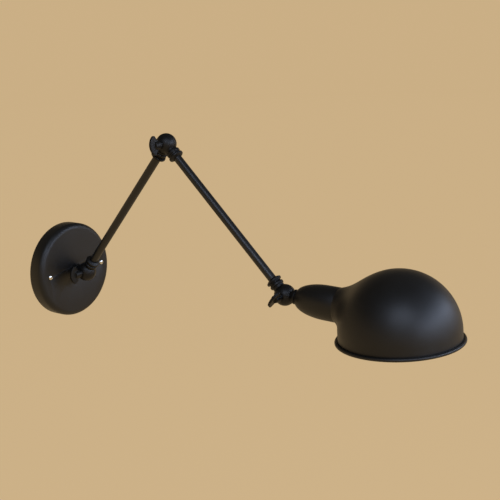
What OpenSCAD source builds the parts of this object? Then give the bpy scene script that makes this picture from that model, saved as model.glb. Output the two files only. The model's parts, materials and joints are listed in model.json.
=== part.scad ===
// Long arm wall sconce: a round canopy on the wall, two tube arms joined by
// clamped ball knuckles, and a helmet shade on a bullet-shaped lampholder cup.
// The wall is the plane y = 0, the lamp reaches out along -Y, and +Z is up.

/* [Canopy] */
// Diameter of the canopy
canopy_d = 150; // [134:1:180]
// How far the canopy stands off the wall
canopy_depth = 25; // [22:0.5:30]
// Radius of the canopy's rounded edge
canopy_edge_r = 8.5; // [3:0.5:10]
// Thickness of the canopy's steel
canopy_wall = 1.2; // [0.8:0.1:2]
// Distance of the canopy screws from the canopy's side
screw_inset = 19; // [16:1:23]
// Diameter of the canopy screws
screw_d = 4; // [3:0.5:5]
// Diameter of the canopy screws' heads
screw_head_d = 8; // [7:0.5:10]
// Height of the canopy screws' heads
screw_head_h = 2.6; // [2:0.1:3.5]
// Length of the canopy screws under the head
screw_length = 8; // [6:1:12]

/* [Mounting bar] */
// Width of the mounting bar
bar_width = 20; // [14:1:26]
// Thickness of the mounting bar
bar_wall = 2; // [1.5:0.1:3]
// Length of the foot that lies on the wall
foot_length = 84; // [80:1:90]
// Gap between the ears that carry the canopy and the canopy's rounded edge
ear_gap = 1.5; // [1.5:0.1:3]
// Distance between the two wall screw slots
slot_pitch = 60; // [50:1:62]
// Length of a wall screw slot, end to end
slot_length = 12; // [8:0.5:14]
// Width of a wall screw slot
slot_width = 4.5; // [4:0.1:6]
// Diameter of the earth screw
earth_screw_d = 4; // [3:0.5:5]
// Distance of the earth screw from the middle of the bar
earth_screw_x = 13; // [11:0.5:15]

/* [Arms] */
// Distance between the knuckles of each arm
arm_length = 280; // [200:1:400]
// Outer diameter of the arm tubes
tube_d = 12; // [11:0.5:13]
// Wall of the arm tubes
tube_wall = 1; // [0.8:0.1:1.5]
// Distance of the base knuckle from the wall
base_reach = 48; // [44:0.5:56]
// Rise of the lower arm above the horizontal
lower_arm_angle = 49.6; // [30:0.2:70]
// Rise of the upper arm above the horizontal
upper_arm_angle = -44.7; // [-60:0.2:-30]
// Rise of the cup's axis above the horizontal
head_angle = -1.2; // [-15:0.2:15]

/* [Knuckles] */
// Diameter of a knuckle's ball
ball_d = 30; // [28:0.5:32]
// Wall of the hollow ball halves
ball_wall = 3; // [2.5:0.1:3.5]
// Thickness of the friction washer in the seam
seam = 0.8; // [0.5:0.1:1.5]
// Gap between a stem and the ball half that turns under it
turn_gap = 0.3; // [0.2:0.05:0.5]
// Diameter of a stem where it leaves the ball
stem_d = 17; // [16:0.2:18]
// Diameter of the collar on a stem
collar_d = 20.4; // [19.4:0.2:21]
// Width of the collar on a stem
collar_width = 4.2; // [3.6:0.2:4.8]
// Length of a stem past its collar
stem_tail = 1.8; // [1.4:0.1:3]
// Length of the head's stem past its collar
cup_tail = 0.4; // [0.2:0.1:1.5]
// Depth of the socket for the tube
socket_depth = 4; // [3:0.5:5]
// Diameter of the lock rings on the arms
ring_d = 22.2; // [21:0.2:24]
// Width of the lock rings
ring_width = 6.2; // [5:0.2:8]
// Diameter of the wire way through the stems
wireway_d = 6.4; // [6:0.2:7]

/* [Clamp screws] */
// Diameter of the clamp bolts
bolt_d = 6; // [5:0.5:6]
// Length of the clamp bolts under the head
bolt_length = 37; // [35:1:39]
// Diameter of the bolts' domed heads
bolt_head_d = 12; // [11:0.5:12]
// Height of the bolts' domed heads
bolt_head_h = 3.3; // [2.5:0.1:4]
// Depth of the flat on each side of the ball
seat_flat = 1.5; // [1.4:0.1:2]
// Thickness of the plain washer
washer_t = 1.2; // [1:0.1:1.6]
// Thickness of the spring washer
spring_washer_t = 1.6; // [1.2:0.1:2]
// Diameter of the wing nut's hub
hub_d = 12.8; // [12:0.2:14]
// Height of the wing nut's hub
hub_h = 10; // [9.5:0.5:13]
// Height of the wing nut
wing_h = 18.8; // [17:0.2:24]
// Radius of the wings' outer edge
wing_r = 16; // [14:0.5:18]
// Angle from the bolt to each tip, seen from the middle of that edge's arc
wing_spread = 56; // [45:1:65]
// Radius of the wings' tips
wing_tip_r = 2; // [1.5:0.1:3]
// Thickness of the wings
wing_t = 3; // [2:0.1:3.4]
// Rise of the base wing nut's wings
base_wing_angle = 90; // [0:5:180]
// Rise of the elbow wing nut's wings
elbow_wing_angle = 95; // [0:1:180]
// Rise of the head wing nut's wings
head_wing_angle = 54; // [0:1:180]

/* [Hollow nipples] */
// Diameter of the threaded nipples
nipple_d = 10; // [9:0.5:10]
// Bore of the threaded nipples
nipple_bore = 7; // [6.6:0.2:7.4]
// Width of the hex nuts across the flats
nut_af = 14; // [13:0.5:15]
// Height of the hex nuts
nut_h = 3; // [2.5:0.5:4]
// Thickness of the fibre washer
fibre_washer_t = 1; // [0.8:0.1:1.5]
// Diameter of the fibre washer
fibre_washer_d = 19; // [17:0.5:21]

/* [Cup] */
// Outer diameter of the cup's straight part
cup_d = 47; // [45:0.5:50]
// Length of the cup
cup_length = 65.5; // [63:1:72]
// Length of the cup's round nose
nose_length = 46; // [44:1:50]
// Radius that the nose starts from
nose_start_r = 7.4; // [6:0.2:9]
// Thickness of the cup's wall
cup_wall = 1.2; // [0.8:0.1:1.4]

/* [Lampholder] */
// Outer diameter of the lampholder's threaded barrel
holder_d = 38; // [36:0.5:38]
// Wall of the barrel round the screw shell
holder_wall = 4.8; // [4:0.1:5]
// Length of the barrel
holder_length = 46; // [44:0.5:48]
// Length of the lampholder's cap
holder_cap_length = 23; // [21:0.5:24]
// Wall of the lampholder's cap
holder_cap_wall = 2; // [1.6:0.1:2.6]
// Inner diameter of the screw shell
shell_bore = 26.6; // [26.4:0.1:26.8]
// Thickness of the screw shell
shell_wall = 0.4; // [0.3:0.05:0.6]
// Length of the screw shell
shell_length = 26; // [24:0.5:27]
// Width of the centre contact
contact_width = 6; // [4:0.5:8]
// Thickness of the shade ring across its thread
shade_ring_wall = 1.8; // [1.4:0.1:2]
// Height of the shade ring
shade_ring_h = 6; // [4:0.5:7]

/* [Shade] */
// Radius of the dome
dome_r = 78.7; // [74:0.1:82]
// Height of the straight skirt under the dome
skirt_h = 14.4; // [12:0.2:18]
// Thickness of the shade's steel
shade_wall = 1.2; // [0.8:0.1:1.6]
// Thickness of the rolled rim
bead_d = 4.6; // [3.6:0.2:6]
// Distance from the shade's axis to the mouth of its neck
neck_reach = 85.8; // [82:0.2:92]
// Height of the neck's mouth above the rim
neck_height = 39; // [36:0.2:44]
// Height on the skirt where the neck's underside ends
neck_foot = 8; // [4:0.5:12]
// Angle between the neck and the plane of the rim
neck_angle = 4.4; // [0:0.1:12]

/* [Leads] */
// Diameter of one inner wire
wire_d = 2; // [1.6:0.1:2.2]

/* [Hidden] */

$fn = 64;
// Clearance of a pin in its hole, on the radius
fit = 0.06;
// Clearance of a tube in its socket or ring, on the radius
slip = 0.1;
// Clearance of a screw in its hole, on the radius
screw_play = 0.25;
// Extra length of a cut past the face it starts from
past = 1;
// Radius of a part large enough to hold any half space used here
far = 200;

screw_x = canopy_d / 2 - screw_inset;
ball_r = ball_d / 2;
bolt_r = bolt_d / 2;
tube_r = tube_d / 2;
nipple_r = nipple_d / 2;
seat = ball_r - seat_flat;
collar_start = ball_r + turn_gap + 0.5;
collar_end = collar_start + collar_width;
stem_end = collar_end + stem_tail;
tube_start = stem_end - socket_depth;
stub_end = base_reach - canopy_depth;
nipple_seat = collar_start - 0.3;

base_pivot = [0, -base_reach, 0];
elbow_pivot = base_pivot + arm_length * heading(lower_arm_angle);
head_pivot = elbow_pivot + arm_length * heading(upper_arm_angle);

cup_r = cup_d / 2;
cup_start = collar_end + cup_tail;
cup_end = cup_start + cup_length;
holder_r = holder_d / 2;
holder_end = cup_end + shade_wall + shade_ring_h + 3;
holder_start = holder_end - holder_length;
shell_r = shell_bore / 2;
shell_end = holder_end - 3;
shell_start = shell_end - shell_length;
shelf_t = 4;
neck_point = head_pivot + cup_end * heading(head_angle);

black = [0.10, 0.10, 0.10];
dull_black = [0.07, 0.07, 0.07];
bright = [0.80, 0.80, 0.78];
zinc = [0.62, 0.64, 0.66];
brass = [0.80, 0.64, 0.30];
fibre = [0.45, 0.20, 0.12];
nylon = [0.86, 0.85, 0.80];
phenolic = [0.13, 0.09, 0.07];

// Unit vector in the plane of the arms that rises at the given angle
function heading(rise) = [0, -cos(rise), sin(rise)];

// Turns +Z to the given rise in the plane of the arms; local Y then points up
module along(rise) {
    rotate([90 - rise, 0, 0]) children();
}

// Turns +Z to the side of the wing nuts, which is -X; local X then points up
module across() {
    rotate([0, -90, 0]) children();
}

// Ring of a given thickness on +Z
module ring(outer_r, inner_r, height) {
    difference() {
        cylinder(h = height, r = outer_r);
        translate([0, 0, -past]) cylinder(h = height + 2 * past, r = inner_r);
    }
}

// Half space on the side of +X or -X, from the plane at the given distance
module half_space(side, from) {
    translate([side * (from + far / 2), 0, 0]) cube([far, far, far], center = true);
}

// Pan or mushroom head, dome up, with its underside at z = 0
module domed_head(d, h) {
    sphere_r = (d * d / 4 + h * h) / (2 * h);
    rotate_extrude() {
        intersection() {
            translate([0, h - sphere_r]) circle(r = sphere_r);
            square([d, h]);
        }
    }
}

// Hollow ball half on the +Z side of the seam, with a boss round the bolt
module ball_half() {
    boss_r = bolt_r + 2.6;
    rotate_extrude() {
        difference() {
            union() {
                difference() {
                    circle(r = ball_r);
                    circle(r = ball_r - ball_wall);
                }
                square([boss_r, ball_r - ball_wall / 2]);
            }
            translate([-far, seam / 2 - far]) square([2 * far, far]);
            translate([bolt_r + fit - far, -far]) square([far, 2 * far]);
            translate([-far, seat]) square([2 * far, far]);
        }
    }
}

// Stem with its collar, along +Z from the ball
module stem(length) {
    stem_r = stem_d / 2;
    collar_r = collar_d / 2;
    chamfer = 0.8;
    collar_stop = collar_start + collar_width;
    rotate_extrude() {
        polygon([
            [0, ball_r - ball_wall],
            [stem_r, ball_r - ball_wall],
            [stem_r, collar_start],
            [collar_r - chamfer, collar_start],
            [collar_r, collar_start + chamfer],
            [collar_r, collar_stop - chamfer],
            [collar_r - chamfer, collar_stop],
            [stem_r, collar_stop],
            [stem_r, length],
            [0, length]
        ]);
    }
}

// One half of a knuckle: its ball half on one side of the seam and a stem that
// is centred on the seam, cut clear of the other half
module knuckle_half(side, rise, length, socket_r, socket_start) {
    along(rise) {
        difference() {
            union() {
                rotate([0, side * 90, 0]) ball_half();
                difference() {
                    stem(length);
                    sphere(r = ball_r - ball_wall / 2);
                }
            }
            intersection() {
                sphere(r = ball_r + turn_gap);
                half_space(-side, -seam / 2);
            }
            translate([0, 0, bolt_r + 3.5]) cylinder(h = length, d = wireway_d);
            translate([0, 0, socket_start]) cylinder(h = length, r = socket_r);
        }
    }
}

// Knuckle half that carries an arm tube
module tube_knuckle_half(side, rise) {
    knuckle_half(side, rise, stem_end, tube_r + slip, tube_start);
}

// Friction washer that fills the seam near the ball's edge
module friction_washer() {
    across() translate([0, 0, -seam / 2]) ring(ball_r - 0.3, ball_r - ball_wall + 0.2, seam);
}

// Domed clamp bolt with its head on the +X side
module clamp_bolt() {
    across() {
        translate([0, 0, -seat]) {
            cylinder(h = bolt_length, r = bolt_r);
            mirror([0, 0, 1]) domed_head(bolt_head_d, bolt_head_h);
        }
    }
}

// Plain washer on the flat of the ball and a spring washer on it
module bolt_washers() {
    across() {
        translate([0, 0, seat]) {
            ring(hub_d / 2 - 0.4, bolt_r + fit, washer_t);
            translate([0, 0, washer_t]) spring_washer();
        }
    }
}

// Spring washer with its split
module spring_washer() {
    washer_r = hub_d / 2 - 1.2;
    difference() {
        ring(washer_r, bolt_r + fit, spring_washer_t);
        translate([0, -0.4, -past]) cube([washer_r + past, 0.8, spring_washer_t + 2 * past]);
    }
}

// Wing nut on the -X side, with its wings at the given rise
module wing_nut(rise) {
    hub_r = hub_d / 2;
    nut_start = seat + washer_t + spring_washer_t;
    across() {
        rotate([0, 0, rise - 90]) {
            translate([0, 0, nut_start]) {
                difference() {
                    union() {
                        cylinder(h = hub_h, r1 = hub_r, r2 = hub_r - 1.6);
                        rotate([90, 0, 0]) linear_extrude(wing_t, center = true) wings();
                    }
                    translate([0, 0, -past]) {
                        cylinder(h = bolt_length - seat - nut_start + 2 * past, r = bolt_r + fit);
                    }
                }
            }
        }
    }
}

// Outline of both wings: they flare out of the hub to round tips under one arc
module wings() {
    middle = [0, wing_h - wing_r];
    tip = middle + (wing_r - wing_tip_r) * [sin(wing_spread), cos(wing_spread)];
    root = [2.5, 0.4 * hub_h];
    slope = (tip - root) / norm(tip - root);
    edge = wing_tip_r * [slope[1], -slope[0]];
    half = [root + edge, tip + edge, tip, middle + 2 * wing_r * [sin(wing_spread), cos(wing_spread)]];
    intersection() {
        translate(middle) circle(r = wing_r);
        polygon(concat(half, [for (i = [3:-1:0]) [-half[i][0], half[i][1]]]));
    }
    for (side = [-1, 1]) {
        translate([side * tip[0], tip[1]]) circle(r = wing_tip_r);
    }
}

// Lock ring that slides on the tube against the end of the stem
module lock_ring() {
    ring_r = ring_d / 2;
    bore = tube_r + slip;
    translate([0, 0, stem_end]) {
        rotate_extrude() {
            polygon([
                [bore, 0],
                [stem_d / 2, 0],
                [stem_d / 2, 0.15 * ring_width],
                [ring_r - 0.6, 0.15 * ring_width],
                [ring_r, 0.15 * ring_width + 0.6],
                [ring_r, 0.6 * ring_width],
                [ring_r - 1.2, 0.72 * ring_width],
                [bore + 1, ring_width],
                [bore, ring_width]
            ]);
        }
    }
}

module arm_tube(rise) {
    along(rise) {
        translate([0, 0, tube_start]) {
            ring(tube_r, tube_r - tube_wall, arm_length - 2 * tube_start);
        }
    }
}

module arm_lock_rings(rise) {
    along(rise) {
        lock_ring();
        translate([0, 0, arm_length]) mirror([0, 0, 1]) lock_ring();
    }
}

// Two wires side by side in the half of the wire way on the given side
module twin_wires(side, from, to) {
    wire_r = wire_d / 2;
    wire_x = seam / 2 + wire_r + 0.2;
    for (up = [-1, 1]) {
        translate([side * wire_x, up * (wire_r + 0.1), from]) cylinder(h = to - from, r = wire_r);
    }
}

// Hex nut on +Z
module hex_nut() {
    difference() {
        cylinder(h = nut_h, d = nut_af / cos(30), $fn = 6);
        translate([0, 0, -past]) cylinder(h = nut_h + 2 * past, r = nipple_r + slip);
    }
}

// Pressed steel canopy, open towards the wall
module canopy() {
    color(black)
    along(0) {
        difference() {
            rotate_extrude() {
                difference() {
                    canopy_outline(0);
                    translate([0, -past]) canopy_outline(canopy_wall);
                    translate([0, -past]) square([canopy_d / 2 - canopy_wall, past + 0.5]);
                }
            }
            translate([0, 0, canopy_depth - canopy_wall - past]) {
                cylinder(h = canopy_wall + 2 * past, r = nipple_r + turn_gap);
            }
            for (side = [-1, 1]) {
                translate([side * screw_x, 0, canopy_depth - canopy_wall - past]) {
                    cylinder(h = canopy_wall + 2 * past, r = screw_d / 2 + screw_play);
                }
            }
        }
    }
}

// Half section of the canopy, drawn in by the given amount
module canopy_outline(inset) {
    r = canopy_d / 2 - inset;
    h = canopy_depth - inset + (inset > 0 ? past : 0);
    edge = canopy_edge_r - inset;
    square([r - edge, h]);
    square([r, h - edge]);
    translate([r - edge, h - edge]) {
        intersection() {
            circle(r = edge);
            square([edge, edge]);
        }
    }
}

// Bent steel bar: its foot lies on the wall and its ears carry the canopy
module mounting_bar() {
    top = canopy_depth - canopy_wall;
    foot = foot_length / 2;
    ear = canopy_d / 2 - canopy_edge_r - ear_gap;
    color(zinc)
    along(0) {
        difference() {
            rotate([90, 0, 0]) {
                linear_extrude(bar_width, center = true) {
                    polygon([
                        [-foot, 0], [foot, 0], [foot, top - bar_wall], [ear, top - bar_wall],
                        [ear, top], [foot - bar_wall, top], [foot - bar_wall, bar_wall],
                        [bar_wall - foot, bar_wall], [bar_wall - foot, top], [-ear, top],
                        [-ear, top - bar_wall], [-foot, top - bar_wall]
                    ]);
                }
            }
            for (side = [-1, 1]) {
                translate([side * screw_x, 0, top - bar_wall - past]) {
                    cylinder(h = bar_wall + 2 * past, r = screw_d / 2 + slip);
                }
                translate([side * slot_pitch / 2, 0, -past]) wall_slot();
            }
            translate([earth_screw_x, 0, -past]) {
                cylinder(h = bar_wall + 2 * past, r = earth_screw_d / 2 + slip);
            }
        }
    }
}

// Slot with round ends for a wall screw
module wall_slot() {
    straight = slot_length - slot_width;
    cut_h = bar_wall + 2 * past;
    translate([-straight / 2, -slot_width / 2, 0]) cube([straight, slot_width, cut_h]);
    for (end = [-1, 1]) {
        translate([end * straight / 2, 0, 0]) cylinder(h = cut_h, d = slot_width);
    }
}

module canopy_screws() {
    color(bright)
    along(0) {
        for (side = [-1, 1]) {
            translate([side * screw_x, 0, canopy_depth]) {
                domed_head(screw_head_d, screw_head_h);
                translate([0, 0, -screw_length]) cylinder(h = screw_length, d = screw_d);
            }
        }
    }
}

module earth_screw() {
    color(brass)
    along(0) {
        translate([earth_screw_x, 0, bar_wall]) {
            domed_head(2 * earth_screw_d, 0.6 * earth_screw_d);
            translate([0, 0, -bar_wall]) cylinder(h = bar_wall, d = earth_screw_d);
        }
    }
}

module base_stub_half() {
    color(black)
    translate(base_pivot) knuckle_half(-1, 180, stub_end, nipple_r + slip, nipple_seat);
}

// Hollow nipple that passes through the canopy into the stub
module base_nipple() {
    bottom = canopy_depth - canopy_wall - fibre_washer_t - nut_h - 3;
    color(zinc)
    along(0) translate([0, 0, bottom]) ring(nipple_r, nipple_bore / 2, base_reach - nipple_seat - bottom);
}

module base_fibre_washer() {
    color(fibre)
    along(0) {
        translate([0, 0, canopy_depth - canopy_wall - fibre_washer_t]) {
            ring(fibre_washer_d / 2, nipple_r + slip, fibre_washer_t);
        }
    }
}

module base_nipple_nut() {
    color(zinc)
    along(0) translate([0, 0, canopy_depth - canopy_wall - fibre_washer_t - nut_h]) hex_nut();
}

module base_friction_washer() {
    color(nylon) translate(base_pivot) friction_washer();
}

// Wires from the base knuckle to the canopy's hollow
module mains_leads() {
    color(nylon)
    translate(base_pivot) {
        along(180) twin_wires(-1, ball_r - ball_wall, base_reach - bar_wall - 6);
    }
}

module base_arm_half() {
    color(black) translate(base_pivot) tube_knuckle_half(1, lower_arm_angle);
}

module lower_arm_tube() {
    color(black) translate(base_pivot) arm_tube(lower_arm_angle);
}

module lower_arm_lock_rings() {
    color(black) translate(base_pivot) arm_lock_rings(lower_arm_angle);
}

module elbow_lower_half() {
    color(black) translate(elbow_pivot) tube_knuckle_half(1, lower_arm_angle + 180);
}

module elbow_friction_washer() {
    color(nylon) translate(elbow_pivot) friction_washer();
}

module base_clamp_bolt() {
    color(dull_black) translate(base_pivot) clamp_bolt();
}

module elbow_clamp_bolt() {
    color(dull_black) translate(elbow_pivot) clamp_bolt();
}

module base_bolt_washers() {
    color(dull_black) translate(base_pivot) bolt_washers();
}

module elbow_bolt_washers() {
    color(dull_black) translate(elbow_pivot) bolt_washers();
}

module lower_arm_leads() {
    color(nylon)
    translate(base_pivot) {
        along(lower_arm_angle) twin_wires(1, ball_r - ball_wall, arm_length - ball_r + ball_wall);
    }
}

module base_wing_nut() {
    color(dull_black) translate(base_pivot) wing_nut(base_wing_angle);
}

module elbow_wing_nut() {
    color(dull_black) translate(elbow_pivot) wing_nut(elbow_wing_angle);
}

module head_wing_nut() {
    color(dull_black) translate(head_pivot) wing_nut(head_wing_angle);
}

module elbow_upper_half() {
    color(black) translate(elbow_pivot) tube_knuckle_half(-1, upper_arm_angle);
}

module upper_arm_tube() {
    color(black) translate(elbow_pivot) arm_tube(upper_arm_angle);
}

module upper_arm_lock_rings() {
    color(black) translate(elbow_pivot) arm_lock_rings(upper_arm_angle);
}

module head_arm_half() {
    color(black) translate(head_pivot) tube_knuckle_half(-1, upper_arm_angle + 180);
}

module head_friction_washer() {
    color(nylon) translate(head_pivot) friction_washer();
}

module upper_arm_leads() {
    color(nylon)
    translate(elbow_pivot) {
        along(upper_arm_angle) twin_wires(-1, ball_r - ball_wall, arm_length - ball_r + ball_wall);
    }
}

module head_cup_half() {
    color(black)
    translate(head_pivot) knuckle_half(1, head_angle, cup_start, nipple_r + slip, nipple_seat);
}

module head_clamp_bolt() {
    color(dull_black) translate(head_pivot) clamp_bolt();
}

module head_bolt_washers() {
    color(dull_black) translate(head_pivot) bolt_washers();
}

// Places a piece on the cup's axis, measured from the head knuckle
module on_cup_axis(distance) {
    translate(head_pivot) along(head_angle) translate([0, 0, distance]) children();
}

// Hollow nipple from the knuckle through the cup into the lampholder's cap
module cup_nipple() {
    color(zinc)
    on_cup_axis(nipple_seat) {
        ring(nipple_r, nipple_bore / 2, holder_start - holder_cap_length + 6 - nipple_seat);
    }
}

module cup_nut() {
    color(zinc) on_cup_axis(cup_start + cup_wall) hex_nut();
}

// Radius of the cup's outside at a distance from its narrow end
function cup_radius(t) = t >= nose_length
    ? cup_r
    : nose_start_r + (cup_r - nose_start_r) * sqrt(1 - pow(1 - t / nose_length, 2));

// Half section of the cup, drawn in by the given amount and starting at a floor
module cup_outline(inset, floor) {
    steps = 24;
    mouth = cup_length + (inset > 0 ? past : 0);
    nose = [
        for (i = [0:steps])
            let (t = floor + (nose_length - floor) * (1 - cos(90 * i / steps)))
            [cup_radius(t) - inset, t]
    ];
    polygon(concat([[0, floor]], nose, [[cup_r - inset, mouth], [0, mouth]]));
}

// Spun cup with a round nose
module cup() {
    color(black)
    on_cup_axis(cup_start) {
        difference() {
            rotate_extrude() {
                difference() {
                    cup_outline(0, 0);
                    cup_outline(cup_wall, cup_wall);
                }
            }
            translate([0, 0, -past]) cylinder(h = cup_wall + 2 * past, r = nipple_r + slip);
        }
    }
}

// Lampholder cap: a threaded hub that widens to the barrel, hollow for the terminals
module holder_cap() {
    hub = nipple_r + 3.2;
    rim = holder_r - 1;
    wall = holder_cap_wall;
    color(phenolic)
    on_cup_axis(holder_start - holder_cap_length) {
        rotate_extrude() {
            polygon([
                [nipple_r + slip, 0], [hub, 0], [hub, 4], [rim, 15], [rim, holder_cap_length],
                [rim - wall, holder_cap_length], [rim - wall, 16], [hub - wall / 2, 6.5],
                [nipple_r + slip, 6.5]
            ]);
        }
    }
}

// Lampholder barrel with a shelf that carries the screw shell
module holder_barrel() {
    color(phenolic)
    on_cup_axis(holder_start) {
        difference() {
            cylinder(h = holder_length, r = holder_r);
            translate([0, 0, shell_start - holder_start]) {
                cylinder(h = holder_length, r = holder_r - holder_wall);
            }
            translate([0, 0, -past]) {
                cylinder(h = shell_start - shelf_t - holder_start + past, r = holder_r - holder_wall);
            }
            for (side = [-1, 1]) {
                translate([side * 8, 0, shell_start - holder_start - shelf_t - past]) {
                    cylinder(h = shelf_t + 2 * past, d = 3);
                }
            }
        }
    }
}

// Brass screw shell with a floor that is open round the centre contact
module screw_shell() {
    color(brass)
    on_cup_axis(shell_start) {
        difference() {
            cylinder(h = shell_length, r = shell_r + shell_wall);
            translate([0, 0, shell_wall]) cylinder(h = shell_length, r = shell_r);
            translate([0, 0, -past]) cylinder(h = shell_wall + 2 * past, r = contact_width + 1);
        }
    }
}

// Sprung brass tongue that stands up from the shelf to meet the lamp's cap
module centre_contact() {
    t = 0.5;
    reach = 4;
    rise = 5;
    color(brass)
    on_cup_axis(shell_start) {
        rotate([90, 0, 0]) {
            linear_extrude(contact_width, center = true) {
                polygon([
                    [-reach, 0], [reach, 0], [reach, t], [-reach + 2 * t, t],
                    [reach - 1, rise - t], [reach - 1, rise], [reach - 1 - t, rise], [-reach, t]
                ]);
            }
        }
    }
}

// Ring that screws on the barrel and clamps the shade's neck to the cup
module shade_ring() {
    ring_r = holder_r + fit + shade_ring_wall;
    color(phenolic)
    on_cup_axis(cup_end + shade_wall) ring(ring_r, holder_r + fit, shade_ring_h);
}

// Places a piece in the shade's own frame: origin at the middle of the rim, +Z up its axis
module on_shade() {
    translate(neck_point) {
        rotate([-(head_angle + neck_angle), 0, 0]) {
            translate([0, -neck_reach, -neck_height]) children();
        }
    }
}

// Dome, skirt and neck in one smooth form, drawn in by the given amount
module shade_form(inset, below) {
    r = dome_r - inset;
    hull() {
        translate([0, 0, skirt_h]) {
            rotate_extrude() {
                intersection() {
                    circle(r = r);
                    square(r);
                }
            }
        }
        translate([0, 0, neck_foot]) cylinder(h = skirt_h - neck_foot, r = r);
        translate([0, neck_reach, neck_height]) {
            along(-neck_angle) translate([0, 0, inset]) cylinder(h = 0.5, r = cup_r - inset);
        }
    }
    translate([0, 0, -below]) cylinder(h = skirt_h + below, r = r);
}

// Pressed steel shade with its neck hole and rolled rim
module shade() {
    bead_r = bead_d / 2;
    color(black)
    on_shade() {
        difference() {
            shade_form(0, 0);
            shade_form(shade_wall, past);
            translate([0, neck_reach, neck_height]) {
                along(-neck_angle) translate([0, 0, -past]) cylinder(h = 3 * past, r = holder_r + turn_gap);
            }
        }
        translate([0, 0, bead_r]) {
            rotate_extrude() translate([dome_r - 0.3 + bead_r, 0]) circle(r = bead_r);
        }
    }
}

// Wires from the head knuckle to the lampholder's cap
module socket_leads() {
    color(nylon)
    on_cup_axis(0) twin_wires(1, ball_r - ball_wall, holder_start - holder_cap_length + 12);
}

canopy();
mounting_bar();
canopy_screws();
earth_screw();
base_stub_half();
base_nipple();
base_fibre_washer();
base_nipple_nut();
base_friction_washer();
mains_leads();
base_arm_half();
lower_arm_tube();
lower_arm_lock_rings();
elbow_lower_half();
elbow_friction_washer();
base_clamp_bolt();
elbow_clamp_bolt();
base_bolt_washers();
elbow_bolt_washers();
lower_arm_leads();
base_wing_nut();
elbow_wing_nut();
head_wing_nut();
elbow_upper_half();
upper_arm_tube();
upper_arm_lock_rings();
head_arm_half();
head_friction_washer();
upper_arm_leads();
head_cup_half();
head_clamp_bolt();
head_bolt_washers();
cup_nipple();
cup_nut();
cup();
holder_cap();
holder_barrel();
screw_shell();
centre_contact();
shade_ring();
shade();
socket_leads();
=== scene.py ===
import json
import math
import bpy
from mathutils import Matrix, Vector


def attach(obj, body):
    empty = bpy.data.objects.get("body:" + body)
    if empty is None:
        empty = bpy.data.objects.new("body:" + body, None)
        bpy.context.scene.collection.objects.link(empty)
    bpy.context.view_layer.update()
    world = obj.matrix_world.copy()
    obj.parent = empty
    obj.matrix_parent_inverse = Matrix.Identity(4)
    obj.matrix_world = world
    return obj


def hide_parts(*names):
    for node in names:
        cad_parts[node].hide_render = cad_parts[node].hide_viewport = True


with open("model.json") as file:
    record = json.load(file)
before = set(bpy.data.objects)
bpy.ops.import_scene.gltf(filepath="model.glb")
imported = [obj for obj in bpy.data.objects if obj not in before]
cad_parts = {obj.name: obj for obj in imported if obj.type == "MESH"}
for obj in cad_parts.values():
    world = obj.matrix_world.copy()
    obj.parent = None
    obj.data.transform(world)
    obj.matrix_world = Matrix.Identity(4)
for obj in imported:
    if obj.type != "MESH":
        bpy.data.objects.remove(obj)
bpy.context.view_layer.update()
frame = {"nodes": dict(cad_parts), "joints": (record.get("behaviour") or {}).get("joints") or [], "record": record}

# Sizes, in millimetres and degrees, as the part's source has them or works them out
MM = 0.001
SEAT = 13.5
LOWER_RISE = 49.6
UPPER_RISE = -44.7
HEAD_RISE = -1.2
TUBE_R = 6.0
TUBE_WALL = 1.0
TUBE_START = 17.8
TUBE_END = 262.2
SHADE_TILT = 3.2
NECK_ANGLE = 4.4
NECK_REACH = 85.8
NECK_HEIGHT = 39.0
CUP_START = 20.4
CUP_LENGTH = 65.5
CUP_R = 23.5
CUP_WALL = 1.2
NOSE_LENGTH = 46.0
NOSE_START_R = 7.4
NOSE_BORE_R = 5.1
DOME_R = 78.7
SKIRT_H = 14.4
BEAD_R = 2.3
SHEET = 1.2
HOLDER_R = 19.0
SHELL_START = 67.1
SHELL_LENGTH = 26.0
SHELL_R = 13.3
RING_WALL = 1.8
RING_H = 6.0
FIT = 0.06
BOLT_R = 3.0
BOLT_LENGTH = 37.0
BOLT_HEAD_R = 6.0
BOLT_HEAD_H = 3.3
NUT_START = SEAT + 1.2 + 1.6
NUT_H = 18.8
NUT_RISES = {"base": 90, "elbow": 95, "head": 54}
SCREW_X = 56.0
SCREW_R = 2.0
SCREW_HEAD_R = 4.0
SCREW_HEAD_H = 2.6
CANOPY_DEPTH = 25.0
TURN = 2 * math.pi

joints = {j["name"]: Vector(j["pos_m"]) for j in frame["joints"]}
BASE, ELBOW, HEAD = joints["base_tilt"], joints["elbow"], joints["head_tilt"]


def cos(degrees):
    return math.cos(math.radians(degrees))


def sin(degrees):
    return math.sin(math.radians(degrees))


def heading(rise):
    """Direction away from the canopy that rises at the given angle."""
    return Vector((0, -cos(rise), sin(rise)))


def along(origin, rise, distance=0.0):
    """Place whose +Z points along an arm that rises at the given angle."""
    turn = Matrix.Rotation(math.radians(90 - rise), 4, "X")
    return Matrix.Translation(origin + distance * MM * heading(rise)) @ turn


def across(origin, rise, side, distance):
    """Place on a clamp bolt's axis, with +Z out to the given side and +X the heading."""
    z = Vector((side, 0, 0))
    x = heading(rise)
    turn = Matrix((x, z.cross(x), z)).transposed().to_4x4()
    return Matrix.Translation(origin) @ turn @ Matrix.Translation((0, 0, distance * MM))


NECK = HEAD + (CUP_START + CUP_LENGTH) * MM * heading(HEAD_RISE)
SHADE_TURN = Matrix.Rotation(math.radians(-SHADE_TILT), 4, "X")
ON_SHADE = Matrix.Translation(NECK) @ SHADE_TURN @ Matrix.Translation(
    Vector((0, -NECK_REACH, -NECK_HEIGHT)) * MM
)


# Colours and materials. All patterns read Object coordinates, and their sizes are in millimetres
def linear(code):
    """An sRGB hex colour as linear red, green, blue and alpha."""
    parts = [int(code[i:i + 2], 16) / 255 for i in (1, 3, 5)]
    return [c / 12.92 if c <= 0.04045 else ((c + 0.055) / 1.055) ** 2.4 for c in parts] + [1.0]


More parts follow.
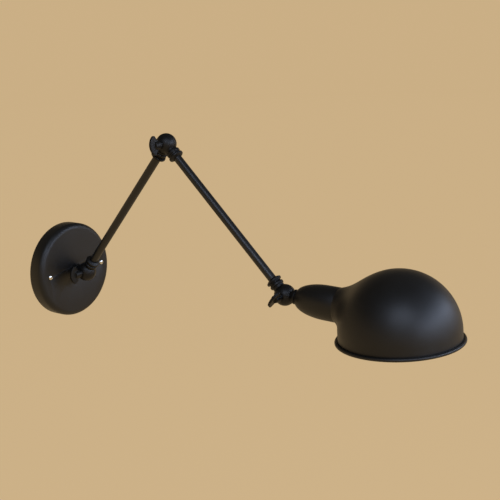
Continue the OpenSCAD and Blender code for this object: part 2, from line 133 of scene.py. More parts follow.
def scale_of(size):
    """A texture's scale for features of the given size in millimetres."""
    return 1 / (size * MM)


def add_node(tree, kind, links=None, stops=(), **settings):
    """Adds a node with its properties, sockets and colour stops, and links outputs to it."""
    made = tree.nodes.new(kind)
    for key, value in settings.items():
        if hasattr(made, key):
            setattr(made, key, value)
        else:
            made.inputs[key.replace("_", " ")].default_value = value
    for key, output in (links or {}).items():
        tree.links.new(output, made.inputs[key])
    for i, (position, code) in enumerate(stops):
        made.color_ramp.elements[i].position = position
        made.color_ramp.elements[i].color = linear(code)
    return made


def new_material(name):
    """An empty material and its node tree."""
    made = bpy.data.materials.new(name)
    made.use_nodes = True
    made.node_tree.nodes.clear()
    return made, made.node_tree


def close_material(tree, colour, rough, height=None, strength=0.3, depth=0.01, **settings):
    """Ends a material with its shader: colour, roughness, relief and the given settings."""
    links = {"Base Color": colour.outputs[0], "Roughness": rough.outputs[0]}
    if height:
        bump = add_node(
            tree, "ShaderNodeBump", {"Height": height.outputs[0]},
            Strength=strength, Distance=depth * MM,
        )
        links["Normal"] = bump.outputs[0]
    shader = add_node(tree, "ShaderNodeBsdfPrincipled", links, **settings)
    add_node(tree, "ShaderNodeOutputMaterial", {"Surface": shader.outputs[0]})


# The dust on a coat is finer in truth, and drawn this coarse so that it shows
CLOUD_SIZE = 28
DUST_SIZE = 1.6
SMOOTHER, ROUGHER = 0.05, 0.16


def black_coat(name, dark, light, grain, depth, roughness, shine):
    """Black skin over metal: a fine relief, faint clouds in its colour, dust in its gloss."""
    made, tree = new_material(name)
    place = add_node(tree, "ShaderNodeTexCoord").outputs["Object"]
    clouds, relief, dust = (
        add_node(
            tree, "ShaderNodeTexNoise", {"Vector": place},
            Scale=scale_of(size), Detail=detail, Roughness=crispness,
        )
        for size, detail, crispness in ((CLOUD_SIZE, 3, 0.5), (grain, 2, 0.5), (DUST_SIZE, 4, 0.65))
    )
    colour = add_node(
        tree, "ShaderNodeValToRGB", {"Fac": clouds.outputs[0]}, [(0.3, dark), (0.7, light)]
    )
    worn = add_node(
        tree, "ShaderNodeMath", {0: dust.outputs[0], 1: clouds.outputs[0]}, operation="MULTIPLY"
    )
    rough = add_node(
        tree, "ShaderNodeMapRange", {"Value": worn.outputs[0]},
        To_Min=roughness - SMOOTHER, To_Max=roughness + ROUGHER,
    )
    close_material(
        tree, colour, rough, relief, 0.35, depth, IOR=1.5, Specular_IOR_Level=shine
    )
    return made


def metal(name, dark, light, size, low, high):
    """Bare or plated metal: its colour and gloss vary with the marks of making."""
    made, tree = new_material(name)
    place = add_node(tree, "ShaderNodeTexCoord").outputs["Object"]
    marks = add_node(
        tree, "ShaderNodeTexNoise", {"Vector": place},
        Scale=scale_of(size), Detail=4, Roughness=0.6,
    )
    colour = add_node(
        tree, "ShaderNodeValToRGB", {"Fac": marks.outputs[0]}, [(0.3, dark), (0.7, light)]
    )
    rough = add_node(
        tree, "ShaderNodeMapRange", {"Value": marks.outputs[0]}, To_Min=low, To_Max=high
    )
    close_material(tree, colour, rough, marks, Metallic=1.0)
    return made


def galvanised(name, dark, light, size, low, high):
    """Zinc-dipped steel: flat crystals, each of its own grey and gloss."""
    made, tree = new_material(name)
    place = add_node(tree, "ShaderNodeTexCoord").outputs["Object"]
    spangle = add_node(tree, "ShaderNodeTexVoronoi", {"Vector": place}, Scale=scale_of(size))
    grey = add_node(tree, "ShaderNodeSeparateColor", {"Color": spangle.outputs["Color"]})
    colour = add_node(
        tree, "ShaderNodeValToRGB", {"Fac": grey.outputs[0]}, [(0, dark), (1, light)]
    )
    rough = add_node(
        tree, "ShaderNodeMapRange", {"Value": grey.outputs[1]}, To_Min=low, To_Max=high
    )
    close_material(tree, colour, rough, Metallic=1.0)
    return made


SKIN_SPREAD = 0.06


def moulded(name, dark, light, size, roughness, depth, ior=1.5):
    """Moulded, punched or extruded plastic and fibre: mottled colour under its skin."""
    made, tree = new_material(name)
    place = add_node(tree, "ShaderNodeTexCoord").outputs["Object"]
    mottle = add_node(
        tree, "ShaderNodeTexNoise", {"Vector": place},
        Scale=scale_of(size), Detail=5, Roughness=0.65,
    )
    skin = add_node(
        tree, "ShaderNodeTexNoise", {"Vector": place},
        Scale=scale_of(size / 6), Detail=2, Roughness=0.5,
    )
    colour = add_node(
        tree, "ShaderNodeValToRGB", {"Fac": mottle.outputs[0]}, [(0.35, dark), (0.65, light)]
    )
    rough = add_node(
        tree, "ShaderNodeMapRange", {"Value": skin.outputs[0]},
        To_Min=roughness - SKIN_SPREAD, To_Max=roughness + SKIN_SPREAD,
    )
    close_material(tree, colour, rough, skin, depth=depth, IOR=ior)
    return made


# Powder coat baked on spun sheet: an even satin black with a wide, soft highlight
SPUN_COAT = black_coat(
    "satin_powder_coat_on_spun_steel", "#080808", "#0e0e0d", 0.9, 0.02, 0.49, 0.52
)
# The same coat on castings: their finer, deeper grain dulls it
CAST_COAT = black_coat(
    "satin_powder_coat_on_cast_zinc", "#080808", "#0e0e0d", 0.7, 0.03, 0.48, 0.34
)
# The same coat on drawn tube: smoother, with a clear line of light along it
TUBE_COAT = black_coat(
    "satin_powder_coat_on_drawn_tube", "#080808", "#0e0e0d", 0.9, 0.02, 0.44, 0.6
)
# Zinc plate turned black in a bath: a dull, faintly brown black
BLACK_ZINC = black_coat("black_zinc_plated_steel", "#0a0907", "#110f0b", 0.5, 0.01, 0.52, 0.3)
# Nickel plate on a pressed head: bright, with small crisp highlights
BRIGHT_NICKEL = metal("bright_nickel_plated_steel", "#c4c3be", "#e2e1dc", 1.2, 0.14, 0.24)
# Strip dipped in zinc: pale grey crystals about 4 mm wide
GALVANISED = galvanised("galvanised_steel_strip", "#8f9496", "#b9bec0", 4, 0.3, 0.5)
# Zinc plate from a barrel: light grey with a soft gloss
PLATED = metal("zinc_plated_steel", "#a3a6a6", "#c6c8c6", 1.5, 0.28, 0.42)
# Brass sheet rolled and pressed: warm yellow, a little uneven
BRASS = metal("rolled_brass", "#b08a3e", "#d0aa58", 2.0, 0.26, 0.4)
# Fibre punched from sheet: matt red-brown with a mottle of paper pulp
FIBRE = moulded("vulcanised_fibre", "#4c2418", "#6b3522", 2.0, 0.7, 0.03)
# Nylon from a mould: even near-black with a waxy, dull skin
BLACK_NYLON = moulded("black_moulded_nylon", "#131312", "#1b1b1a", 4.0, 0.5, 0.01, 1.53)
# Phenolic resin pressed in a hot mould: dark brown, fairly glossy, slightly marbled
PHENOLIC = moulded("moulded_phenolic", "#1a120e", "#2a1c15", 1.4, 0.32, 0.01, 1.6)
# Silicone extruded round a wire: pale cream with a soft, dull sheen
WIRE = moulded("silicone_wire_sheath", "#c9c5b8", "#d8d4c8", 3.0, 0.55, 0.01, 1.43)

SLOT_FINISH = {
    "black_finish": CAST_COAT, "black_hardware": BLACK_ZINC, "bright_screws": BRIGHT_NICKEL,
    "zinc_steel": PLATED, "brass": BRASS, "fibre": FIBRE, "nylon": BLACK_NYLON,
    "phenolic": PHENOLIC, "wire": WIRE,
}
NODE_FINISH = {
    "canopy": SPUN_COAT, "cup": SPUN_COAT, "shade": SPUN_COAT, "mounting_bar": GALVANISED,
    "lower_arm_tube": TUBE_COAT, "upper_arm_tube": TUBE_COAT,
}
slot_of = {part["node"]: part["material_slot"] for part in frame["record"]["subparts"]}
body_of = {
    node: body for body, nodes in frame["record"]["behaviour"]["bodies"].items() for node in nodes
}


def finish_of(node):
    return NODE_FINISH.get(node, SLOT_FINISH[slot_of[node]])


for node, obj in frame["nodes"].items():
    obj.data.materials.clear()
    obj.data.materials.append(finish_of(node))


# Modelling helpers. Points closer than these, in metres, are one point
SAME_POINT = 1e-7
SAME_SEAM = 1e-6
SAME_SLIVER = 2e-6


def only(obj):
    """Leaves one object selected and active, in object mode."""
    if bpy.context.object and bpy.context.object.mode != "OBJECT":
        bpy.ops.object.mode_set(mode="OBJECT")
    bpy.ops.object.select_all(action="DESELECT")
    obj.select_set(True)
    bpy.context.view_layer.objects.active = obj


def edit(obj):
    """Opens one object's mesh with all of its vertices selected."""
    only(obj)
    bpy.ops.object.mode_set(mode="EDIT")
    bpy.ops.mesh.select_mode(type="VERT")
    bpy.ops.mesh.select_all(action="SELECT")


def done():
    bpy.ops.object.mode_set(mode="OBJECT")


def shape(obj, kind, **settings):
    """Adds a modifier to an object and applies it."""
    only(obj)
    made = obj.modifiers.new(kind.lower(), kind)
    for key, value in settings.items():
        setattr(made, key, value)
    bpy.ops.object.modifier_apply(modifier=made.name)


def join(obj, other):
    """Makes two objects one, under the first one's name."""
    only(obj)
    other.select_set(True)
    bpy.ops.object.join()


def copy_of(obj):
    """A copy of a piece that has its own mesh."""
    made = bpy.data.objects.new(obj.name, obj.data.copy())
    bpy.context.scene.collection.objects.link(made)
    return made


def clear_slivers(obj):
    """Closes up the faces of no area that a boolean or a bevel leaves."""
    edit(obj)
    bpy.ops.mesh.remove_doubles(threshold=SAME_SLIVER)
    bpy.ops.mesh.dissolve_degenerate(threshold=SAME_SLIVER)
    done()


def carve(obj, tool):
    """Cuts a tool out of a piece and clears the tool away."""
    shape(obj, "BOOLEAN", object=tool, operation="DIFFERENCE", solver="EXACT")
    bpy.data.objects.remove(tool)
    clear_slivers(obj)


def settle(obj, place, name):
    """Puts a piece in its place, with the place in its mesh, and names it."""
    obj.matrix_world = place @ obj.matrix_world
    only(obj)
    bpy.ops.object.transform_apply(location=True, rotation=True, scale=True)
    obj.name = name
    obj.data.name = name
    return obj


def dress(obj, material, body, node, angle=32):
    """Gives a finished piece its material and its body, and hides the node that it stands for."""
    only(obj)
    bpy.ops.object.shade_smooth_by_angle(angle=math.radians(angle))
    obj.data.materials.clear()
    obj.data.materials.append(material)
    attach(obj, body)
    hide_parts(node)


def drawn(points, closed=True):
    """Draws a line through points in millimetres, and leaves it selected in edit mode."""
    points = [Vector(point) * MM for point in points]
    bpy.ops.object.select_all(action="DESELECT")
    bpy.ops.mesh.primitive_plane_add(size=MM)
    obj = bpy.context.object
    edit(obj)
    bpy.ops.mesh.merge(type="CENTER")
    bpy.ops.transform.translate(value=points[0])
    here = points[0]
    for point in points[1:] + (points[:1] if closed else []):
        bpy.ops.mesh.extrude_vertices_move(TRANSFORM_OT_translate={"value": point - here})
        here = point
    bpy.ops.mesh.select_all(action="SELECT")
    bpy.ops.mesh.remove_doubles(threshold=SAME_POINT)
    return obj


def turned(profile, steps=96, closed=True):
    """Spins a profile of (radius, height) points in millimetres about the Z axis."""
    obj = drawn([(r, 0, z) for r, z in profile], closed)
    bpy.ops.mesh.spin(steps=steps, angle=TURN, center=(0, 0, 0), axis=(0, 0, 1))
    bpy.ops.mesh.select_all(action="SELECT")
    bpy.ops.mesh.remove_doubles(threshold=SAME_SEAM)
    bpy.ops.mesh.normals_make_consistent(inside=False)
    done()
    return obj


def arc(centre, radius, start, stop, steps):
    """Points of an arc in a profile, with angles measured from outwards towards up."""
    angles = [start + (stop - start) * i / steps for i in range(steps + 1)]
    return [(centre[0] + radius * cos(a), centre[1] + radius * sin(a)) for a in angles]


def cut(obj, point, normal):
    """Cuts a mesh open at a plane and clears what lies on the normal's side."""
    edit(obj)
    bpy.ops.mesh.bisect(plane_co=point, plane_no=normal, clear_outer=True, use_fill=False)
    done()


def select_rim(obj, test):
    """Selects the open edges whose middle passes a test, in edit mode."""
    edit(obj)
    bpy.ops.mesh.select_all(action="DESELECT")
    bpy.ops.mesh.select_mode(type="EDGE")
    bpy.ops.mesh.select_non_manifold()
    done()
    for edge in obj.data.edges:
        if edge.select:
            a, b = (obj.data.vertices[i].co for i in edge.vertices)
            if not test((a + b) / 2):
                edge.select = False
    chosen = {i for edge in obj.data.edges if edge.select for i in edge.vertices}
    for vertex in obj.data.vertices:
        vertex.select = vertex.index in chosen
    bpy.ops.object.mode_set(mode="EDIT")
    bpy.ops.mesh.select_mode(type="EDGE")


# Shade: a dome and skirt, blended with a neck that is a cone widening into its side
NECK_FLARE = 19.0
NECK_BLEND = 13.0
NECK_PAST = 4.0
NECK_DEPTH = 60.0
NECK_INWARD = Vector((0, -cos(NECK_ANGLE), -sin(NECK_ANGLE)))
NECK_CENTRE = Vector((0, NECK_REACH, NECK_HEIGHT))
DOME_CENTRE = Vector((0, 0, SKIRT_H))
NEAREST, FURTHEST, HALVINGS = 40.0, 140.0, 22


def shade_distance(p):
    """How far a point, in millimetres on the shade's own axes, lies outside its outer form."""
    dome = Vector((p.x, p.y, max(p.z - SKIRT_H, 0))).length - DOME_R
    q = p - NECK_CENTRE
    depth = q.dot(NECK_INWARD)
    flare = math.radians(NECK_FLARE)
    width = (q - depth * NECK_INWARD).length - CUP_R - depth * math.tan(flare)
    cone = max(width * math.cos(flare), -depth - NECK_PAST, depth - NECK_DEPTH)
    share = min(max(0.5 + 0.5 * (cone - dome) / NECK_BLEND, 0), 1)
    return share * dome + (1 - share) * cone - NECK_BLEND * share * (1 - share)


def reach_of(direction):
    """Distance from the dome's centre to the outer form, by halving."""
    low, high = NEAREST, FURTHEST
    for _ in range(HALVINGS):
        middle = (low + high) / 2
        if shade_distance(DOME_CENTRE + middle * direction) < 0:
            low = middle
        else:
            high = middle
    return low


# Flange: the flat ring inside the neck. Bead: the rim's sheet, curled out and round
FLANGE_EDGE = 0.6
FLANGE_FIT = 0.3
BEAD_TUCK = 0.3
BEAD_LEAD = 3.9
BEAD_FROM, BEAD_TO, BEAD_STEPS = 128, -175, 18
NECK_ABOVE = 12.0
RIM_BELOW = 8.0


def make_shade():
    """No spin or bevel gives this blend, so a sphere's vertices move out to the outer form."""
    bpy.ops.object.select_all(action="DESELECT")
    bpy.ops.mesh.primitive_uv_sphere_add(segments=160, ring_count=110, radius=1)
    obj = bpy.context.object
    turn = Vector((0, 0, 1)).rotation_difference(NECK_CENTRE - DOME_CENTRE)
    for vertex in obj.data.vertices:
        direction = (turn @ vertex.co).normalized()
        vertex.co = (DOME_CENTRE + reach_of(direction) * direction) * MM
    cut(obj, NECK_CENTRE * MM, -NECK_INWARD)
    cut(obj, Vector((0, 0, 2 * BEAD_R)) * MM, Vector((0, 0, -1)))
    select_rim(obj, lambda p: p.z > NECK_ABOVE * MM)
    here_r = CUP_R
    for r in (CUP_R - FLANGE_EDGE, HOLDER_R + FLANGE_FIT):
        bpy.ops.mesh.extrude_region_move()
        bpy.ops.transform.resize(value=(r / here_r,) * 3, center_override=NECK_CENTRE * MM)
        here_r = r
    select_rim(obj, lambda p: p.z < RIM_BELOW * MM)
    curl = arc((DOME_R - BEAD_TUCK + BEAD_R, BEAD_R), BEAD_R, BEAD_FROM, BEAD_TO, BEAD_STEPS)
    here_r, here_z = DOME_R, 2 * BEAD_R
    for r, z in [(DOME_R, BEAD_LEAD)] + curl:
        bpy.ops.mesh.extrude_region_move(
            TRANSFORM_OT_translate={"value": (0, 0, (z - here_z) * MM)}
        )
        bpy.ops.transform.resize(value=(r / here_r, r / here_r, 1), center_override=(0, 0, z * MM))
        here_r, here_z = r, z
    done()
    edit(obj)
    bpy.ops.mesh.remove_doubles(threshold=SAME_SEAM)
    done()
    shape(obj, "SOLIDIFY", thickness=SHEET * MM, offset=-1)
    return settle(obj, ON_SHADE, "shade_shell")


dress(make_shade(), SPUN_COAT, "head", "shade", angle=40)


# Cup: a spun bullet-shaped cover, open at its mouth. Its lip is (in from the side, down)
CUP_LIP = ((0, 0.5), (0.15, 0.12), (0.5, 0))
CUP_STEPS = 40
NOSE_EDGE = 0.4


def cup_radius(t):
    """The cup's outer radius at a distance from the tip of its nose."""
    if t >= NOSE_LENGTH:
        return CUP_R
    return NOSE_START_R + (CUP_R - NOSE_START_R) * math.sqrt(1 - (1 - t / NOSE_LENGTH) ** 2)


def make_cup():
    lengths = [
        NOSE_LENGTH * (1 - math.cos(math.pi / 2 * i / CUP_STEPS)) for i in range(CUP_STEPS + 1)
    ]
    outside = [(cup_radius(t), t) for t in lengths]
    outside += [(CUP_R - inset, CUP_LENGTH - drop) for inset, drop in CUP_LIP]
    inside = [(r - CUP_WALL, max(t, CUP_WALL)) for r, t in outside[:-1] if t > NOSE_EDGE]
    inside[-1] = (CUP_R - CUP_WALL, CUP_LENGTH)
    profile = [(NOSE_BORE_R, 0)] + outside + inside[::-1] + [(NOSE_BORE_R, CUP_WALL)]
    return turned(profile, steps=128)


cup = settle(make_cup(), along(HEAD, HEAD_RISE, CUP_START), "cup_spinning")
dress(cup, SPUN_COAT, "head", "cup")


# Lampholder: a threaded brass shell and a ribbed ring
THREAD_TURNS = 7
THREAD_SWELL = 0.3
THREAD_POINTS = 12
BRASS_SHEET = 0.2
FLOOR_SHEET = 0.4
FLOOR_BORE_R = 4.1
RING_EDGE, RING_CORNER, RING_LEAD = 0.3, 0.6, 0.4

# Ribs and grooves are counted in columns of the ring's mesh
RING_COLUMNS = 216
RIB_PITCH = 6
GROOVE_WIDTH = 2
GROOVE_SHARE = 0.975
GRIP_BAND = 0.5


def make_screw_shell():
    """One turn of a round thread, about 3.7 mm long, swept up the shell, and its floor."""
    pitch = SHELL_LENGTH / THREAD_TURNS
    wave = [
        (SHELL_R + THREAD_SWELL - THREAD_SWELL * math.cos(TURN * i / THREAD_POINTS), 0,
         -pitch * 0.5 + pitch * i / THREAD_POINTS)
        for i in range(THREAD_POINTS + 1)
    ]
    obj = drawn(wave, closed=False)
    done()
    shape(
        obj, "SCREW", angle=TURN, screw_offset=pitch * MM, iterations=THREAD_TURNS, steps=64,
        render_steps=64, axis="Z", use_merge_vertices=True, merge_threshold=SAME_SEAM,
    )
    cut(obj, (0, 0, FLOOR_SHEET * MM), (0, 0, -1))
    cut(obj, (0, 0, SHELL_LENGTH * MM), (0, 0, 1))
    edit(obj)
    bpy.ops.mesh.remove_doubles(threshold=SAME_SEAM)
    bpy.ops.mesh.normals_make_consistent(inside=False)
    done()
    shape(obj, "SOLIDIFY", thickness=BRASS_SHEET * MM, offset=0)
    outer = SHELL_R + BRASS_SHEET / 2
    floor = turned(
        [(FLOOR_BORE_R, 0), (outer, 0), (outer, FLOOR_SHEET), (FLOOR_BORE_R, FLOOR_SHEET)],
        steps=64,
    )
    join(obj, floor)
    return settle(obj, along(HEAD, HEAD_RISE, SHELL_START), "threaded_shell")


def make_shade_ring():
    """Moulded ring with ribs round it for the fingers."""
    inner, outer = HOLDER_R + FIT, HOLDER_R + FIT + RING_WALL
    obj = turned(
        [(inner, 0), (outer - RING_EDGE, 0), (outer, RING_EDGE), (outer, RING_H - RING_CORNER),
         (outer - RING_CORNER, RING_H), (inner + RING_LEAD, RING_H), (inner, RING_H - RING_LEAD)],
        steps=RING_COLUMNS,
    )
    edit(obj)
    bpy.ops.mesh.select_all(action="DESELECT")
    done()
    for vertex in obj.data.vertices:
        column = round(math.degrees(math.atan2(vertex.co.y, vertex.co.x)) / 360 * RING_COLUMNS)
        on_side = vertex.co.z > 0 and vertex.co.xy.length > (outer - GRIP_BAND) * MM
        vertex.select = on_side and column % RIB_PITCH < GROOVE_WIDTH
    bpy.ops.object.mode_set(mode="EDIT")
    bpy.ops.transform.resize(value=(GROOVE_SHARE, GROOVE_SHARE, 1), center_override=(0, 0, 0))
    done()
    return settle(obj, along(HEAD, HEAD_RISE, CUP_START + CUP_LENGTH + SHEET), "ribbed_ring")


dress(make_screw_shell(), BRASS, "head", "screw_shell", angle=60)
dress(make_shade_ring(), PHENOLIC, "head", "shade_ring")


# Clamp screws: cast thumb nuts on the -X side, socket-head bolts from the +X side
WING_ARC_R = 16.0
WING_TIP_R = 3.0
WING_OPENING = 57
WING_THICK = 3.6
WING_ROOT = (2.5, 3.6)
HUB = ((0, 0), (6.1, 0), (6.4, 0.4), (5.2, 9.6), (4.7, 10.2), (0, 10.2))
CASTING_VOXEL = 0.36
CASTING_SOFTENINGS = 14
BORE_REACH = 8
BOLT_EDGE = 0.3
BOLT_CHAMFER = 0.8
SOCKET_R = 2.31
SOCKET_DEPTH = 4.4
SOCKET_MIDDLE = 3.5


def make_thumb_nut():
    """A hub and a leaf-shaped pair of wings under one arc, cast in one piece."""
    middle = NUT_H - WING_ARC_R
    tip_x = (WING_ARC_R - WING_TIP_R) * sin(WING_OPENING)
    tip_z = middle + (WING_ARC_R - WING_TIP_R) * cos(WING_OPENING)
    root_x, root_z = WING_ROOT
    slope = math.degrees(math.atan2(tip_z - root_z, tip_x - root_x))
    half = arc((0, middle), WING_ARC_R, 90, 90 - WING_OPENING, 14)
    half += arc((tip_x, tip_z), WING_TIP_R, 90 - WING_OPENING, slope - 90, 9)[1:]
    half += [(root_x + WING_TIP_R * sin(slope), root_z - WING_TIP_R * cos(slope))]
    whole = half + [(-x, z) for x, z in reversed(half[1:])]
    wings = drawn([(x, WING_THICK / 2, z) for x, z in whole])
    bpy.ops.mesh.edge_face_add()
    bpy.ops.mesh.extrude_region_move(TRANSFORM_OT_translate={"value": (0, -WING_THICK * MM, 0)})
    bpy.ops.mesh.select_all(action="SELECT")
    bpy.ops.mesh.normals_make_consistent(inside=False)
    done()
    join(wings, turned(HUB, steps=64, closed=False))
    shape(wings, "REMESH", mode="VOXEL", voxel_size=CASTING_VOXEL * MM)
    shape(wings, "SMOOTH", factor=0.5, iterations=CASTING_SOFTENINGS)
    bpy.ops.object.select_all(action="DESELECT")
    bpy.ops.mesh.primitive_cylinder_add(
        vertices=48, radius=(BOLT_R + FIT) * MM, depth=2 * BORE_REACH * MM
    )
    carve(wings, bpy.context.object)
    return wings


def make_bolt():
    """Bolt with a domed head and a hexagon socket."""
    full = BOLT_HEAD_H - BOLT_EDGE
    dome = [(BOLT_HEAD_R * cos(a), BOLT_HEAD_H * sin(a)) for a in range(9, 90, 9)]
    profile = [
        (0, -BOLT_LENGTH), (BOLT_R - BOLT_CHAMFER, -BOLT_LENGTH),
        (BOLT_R, BOLT_CHAMFER - BOLT_LENGTH), (BOLT_R, 0),
        (BOLT_HEAD_R - BOLT_EDGE, 0), (BOLT_HEAD_R, BOLT_EDGE),
    ]
    profile += [(r, z + BOLT_EDGE if z < full else BOLT_HEAD_H) for r, z in dome]
    bolt = turned(profile + [(0, BOLT_HEAD_H)], steps=64, closed=False)
    bpy.ops.object.select_all(action="DESELECT")
    bpy.ops.mesh.primitive_cylinder_add(
        vertices=6, radius=SOCKET_R * MM, depth=SOCKET_DEPTH * MM,
        location=(0, 0, SOCKET_MIDDLE * MM),
    )
    carve(bolt, bpy.context.object)
    return bolt


first_nut, first_bolt = make_thumb_nut(), make_bolt()
for joint, pivot in (("base", BASE), ("elbow", ELBOW), ("head", HEAD)):
    nut_place = across(pivot, NUT_RISES[joint], -1, NUT_START)
    nut = settle(copy_of(first_nut), nut_place, joint + "_thumb_nut")
    dress(nut, BLACK_ZINC, joint + "_nut", joint + "_wing_nut", angle=60)
    bolt = settle(copy_of(first_bolt), across(pivot, 90, 1, SEAT), joint + "_socket_bolt")
    dress(bolt, BLACK_ZINC, body_of[joint + "_clamp_bolt"], joint + "_clamp_bolt")
bpy.data.objects.remove(first_nut)
bpy.data.objects.remove(first_bolt)


# Canopy screws: bright pan heads with a cross recess, each stopped at its own turn
PAN_EDGE = 0.5
PAN_FOOT = 0.1
SCREW_POINT_R = 1.4
SCREW_POINT = 0.8
RECESS_FOOT_R, RECESS_TOP_R = 0.5, 2.6
RECESS_DEPTH = 2.4
RECESS_MIDDLE = 1.9
RECESS_SLIM = 0.28
SCREW_STOPS = {-1: -27, 1: 67}

# The shank is drawn 22 mm long here, where the part's source has 8 mm
SCREW_LENGTH = 22.0


def make_pan_screw():
    rise = SCREW_HEAD_H - PAN_EDGE
    dome = [(SCREW_HEAD_R * cos(a), PAN_EDGE + rise * sin(a)) for a in range(0, 90, 10)]
    shank = [
        (0, -SCREW_LENGTH), (SCREW_POINT_R, -SCREW_LENGTH), (SCREW_R, SCREW_POINT - SCREW_LENGTH),
        (SCREW_R, 0), (SCREW_HEAD_R - PAN_FOOT, 0),
    ]
    screw = turned(shank + dome + [(0, SCREW_HEAD_H)], steps=64, closed=False)
    for slim in ((1, RECESS_SLIM, 1), (RECESS_SLIM, 1, 1)):
        bpy.ops.object.select_all(action="DESELECT")
        bpy.ops.mesh.primitive_cone_add(
            vertices=4, radius1=RECESS_FOOT_R * MM, radius2=RECESS_TOP_R * MM,
            depth=RECESS_DEPTH * MM, location=(0, 0, RECESS_MIDDLE * MM),
            rotation=(0, 0, math.pi / 4),
        )
        blade = bpy.context.object
        bpy.ops.object.transform_apply(location=True, rotation=True, scale=True)
        edit(blade)
        bpy.ops.transform.resize(value=slim, center_override=(0, 0, 0))
        done()
        carve(screw, blade)
    return screw


def make_canopy_screws():
    first = make_pan_screw()
    screws = []
    for side, stop in SCREW_STOPS.items():
        seat = along(Vector((side * SCREW_X, -CANOPY_DEPTH, 0)) * MM, 0)
        turn = Matrix.Rotation(math.radians(stop), 4, "Z")
        screws.append(settle(copy_of(first), seat @ turn, "canopy_cross_screws"))
    bpy.data.objects.remove(first)
    join(*screws)
    return screws[0]


dress(make_canopy_screws(), BRIGHT_NICKEL, "wall_plate", "canopy_screws")


# Arm tubes: drawn steel tube, sawn square and broken at the edges
TUBE_EDGE = 0.3


def make_arm_tube():
    bore = TUBE_R - TUBE_WALL
    return turned([
        (bore, TUBE_START), (TUBE_R - TUBE_EDGE, TUBE_START), (TUBE_R, TUBE_START + TUBE_EDGE),
        (TUBE_R, TUBE_END - TUBE_EDGE), (TUBE_R - TUBE_EDGE, TUBE_END), (bore, TUBE_END),
    ])


first_tube = make_arm_tube()
for arm, knuckle, rise in (("lower_arm", BASE, LOWER_RISE), ("upper_arm", ELBOW, UPPER_RISE)):
    tube = settle(copy_of(first_tube), along(knuckle, rise), arm + "_drawn_tube")
    dress(tube, TUBE_COAT, arm, arm + "_tube")
bpy.data.objects.remove(first_tube)


# Other nodes whose shape is right: merged copies with softened edges, by how many millimetres
FLAT_WITHIN = 0.2
SHARP_FROM = 30
SOFTENED = {
    "canopy": 0.15, "mounting_bar": 0.25, "base_stub_half": 0.25, "base_arm_half": 0.25,
    "elbow_lower_half": 0.25, "elbow_upper_half": 0.25, "head_arm_half": 0.25,
    "head_cup_half": 0.25, "lower_arm_lock_rings": 0.3, "upper_arm_lock_rings": 0.3,
    "base_bolt_washers": 0.12, "elbow_bolt_washers": 0.12, "head_bolt_washers": 0.12,
    "holder_barrel": 0.3, "holder_cap": 0.3,
}


def make_softened_copy(node, width):
    obj = copy_of(frame["nodes"][node])
    obj.name = node + "_dressed"
    obj.data.name = obj.name
    edit(obj)
    bpy.ops.mesh.remove_doubles(threshold=SAME_SLIVER)
    bpy.ops.mesh.dissolve_limited(angle_limit=math.radians(FLAT_WITHIN))
    done()
    shape(
        obj, "BEVEL", width=width * MM, segments=2, limit_method="ANGLE",
        angle_limit=math.radians(SHARP_FROM), use_clamp_overlap=True,
    )
    clear_slivers(obj)
    return obj


for node, width in SOFTENED.items():
    dress(make_softened_copy(node, width), finish_of(node), body_of[node], node)


# Floor, light and camera, in metres
CAMERA_PLACE = Vector((-1.0144266, -1.1086537, 0.3761473))
CAMERA_AZIMUTH, CAMERA_FALL, CAMERA_ROLL = -54.0161, 13.6071, -1.8066
CAMERA_LENS = 67.147
CAMERA_SENSOR = 36
CAMERA_NEAR, CAMERA_FAR = 0.05, 200
LIGHT_TARGET = Vector((0, -0.5, 0))
BACKGROUND = "#d8bb8f"
UPPER_STUDIO = "#5c554a"
STUDIO_WHITE = "#eef0f4"
STUDIO_LIGHT = 0.15
FLOOR_DROP = 1.7
FAR = 26
SHOWN = 0.85


def seen(tree):
    """1 for camera, glossy and transmission rays, and 0 for the rays that light things."""
    rays = add_node(tree, "ShaderNodeLightPath")
    sight = rays.outputs["Is Camera Ray"]
    for ray in ("Is Glossy Ray", "Is Transmission Ray"):
        sight = add_node(
            tree, "ShaderNodeMath", {0: sight, 1: rays.outputs[ray]}, operation="MAXIMUM"
        ).outputs[0]
    return sight


def make_stage():
    """Tan floor and a low far backdrop round it, both shown mostly at their own colour."""
    bpy.ops.object.select_all(action="DESELECT")
    bpy.ops.mesh.primitive_plane_add(size=3 * FAR, location=(0, 0, -FLOOR_DROP))
    floor = bpy.context.object
    floor.name = "floor"
    bpy.ops.object.select_all(action="DESELECT")
    bpy.ops.mesh.primitive_cylinder_add(
        vertices=96, radius=FAR, depth=FAR / 3, end_fill_type="NOTHING",
        location=(0, 0, FAR / 6 - FLOOR_DROP),
    )
    backdrop = bpy.context.object
    backdrop.name = "backdrop"
    for piece in (floor, backdrop):
        made, tree = new_material("pale_" + piece.name)
        shown = add_node(
            tree, "ShaderNodeMapRange", {"Value": seen(tree)}, To_Min=0.0, To_Max=SHOWN
        )
        paint = add_node(tree, "ShaderNodeBsdfDiffuse", Color=linear(BACKGROUND))
        glow = add_node(tree, "ShaderNodeEmission", Color=linear(BACKGROUND), Strength=1.0)
        mix = add_node(
            tree, "ShaderNodeMixShader",
            {0: shown.outputs[0], 1: paint.outputs[0], 2: glow.outputs[0]},
        )
        add_node(tree, "ShaderNodeOutputMaterial", {"Surface": mix.outputs[0]})
        piece.data.materials.append(made)


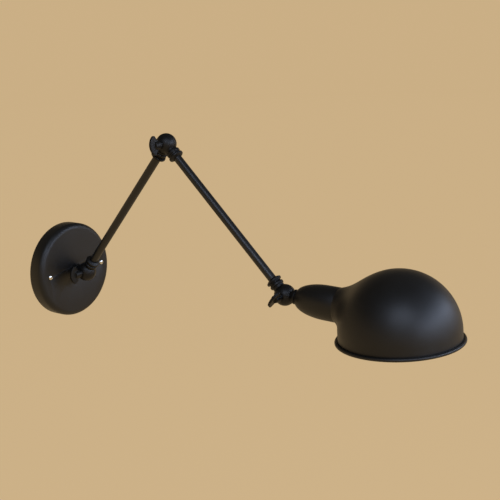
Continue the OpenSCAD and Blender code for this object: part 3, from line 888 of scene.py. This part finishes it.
def make_world():
    """Weak even light, shown as a darker studio above the backdrop."""
    world = bpy.data.worlds.new("studio")
    bpy.context.scene.world = world
    world.use_nodes = True
    tree = world.node_tree
    tree.nodes.clear()
    upper = add_node(tree, "ShaderNodeBackground", Color=linear(UPPER_STUDIO), Strength=1.0)
    light = add_node(
        tree, "ShaderNodeBackground", Color=linear(STUDIO_WHITE), Strength=STUDIO_LIGHT
    )
    mix = add_node(
        tree, "ShaderNodeMixShader", {0: seen(tree), 1: light.outputs[0], 2: upper.outputs[0]}
    )
    add_node(tree, "ShaderNodeOutputWorld", {"Surface": mix.outputs[0]})


def softbox(name, place, size, power, code):
    """An area light that faces the lamp, with its size in metres and its power in watts."""
    light = bpy.data.lights.new(name, "AREA")
    light.shape = "RECTANGLE"
    light.size, light.size_y = size
    light.energy = power
    light.color = linear(code)[:3]
    obj = bpy.data.objects.new(name, light)
    obj.location = place
    obj.rotation_mode = "QUATERNION"
    obj.rotation_quaternion = (LIGHT_TARGET - Vector(place)).to_track_quat("-Z", "Y")
    bpy.context.scene.collection.objects.link(obj)


def make_camera():
    a, e, roll = (math.radians(v) for v in (CAMERA_AZIMUTH, CAMERA_FALL, CAMERA_ROLL))
    forward = Vector((-math.sin(a) * math.cos(e), math.cos(a) * math.cos(e), -math.sin(e)))
    level = forward.cross(Vector((0, 0, 1))).normalized()
    up = level.cross(forward)
    right = math.cos(roll) * level + math.sin(roll) * up
    top = math.cos(roll) * up - math.sin(roll) * level
    data = bpy.data.cameras.new("camera")
    data.sensor_width = CAMERA_SENSOR
    data.lens = CAMERA_LENS
    data.clip_start, data.clip_end = CAMERA_NEAR, CAMERA_FAR
    obj = bpy.data.objects.new("camera", data)
    obj.matrix_world = Matrix.Translation(CAMERA_PLACE) @ Matrix(
        (right, top, -forward)
    ).transposed().to_4x4()
    bpy.context.scene.collection.objects.link(obj)
    bpy.context.scene.camera = obj


make_stage()
make_world()
softbox("wide_softbox", (0.8, -3.0, 1.0), (5.0, 0.9), 84, "#cfe0ff")
softbox("side_softbox", (-1.7, -1.6, 1.8), (1.5, 0.9), 26, "#d6e4ff")
make_camera()
bpy.context.scene.view_settings.view_transform = "Standard"
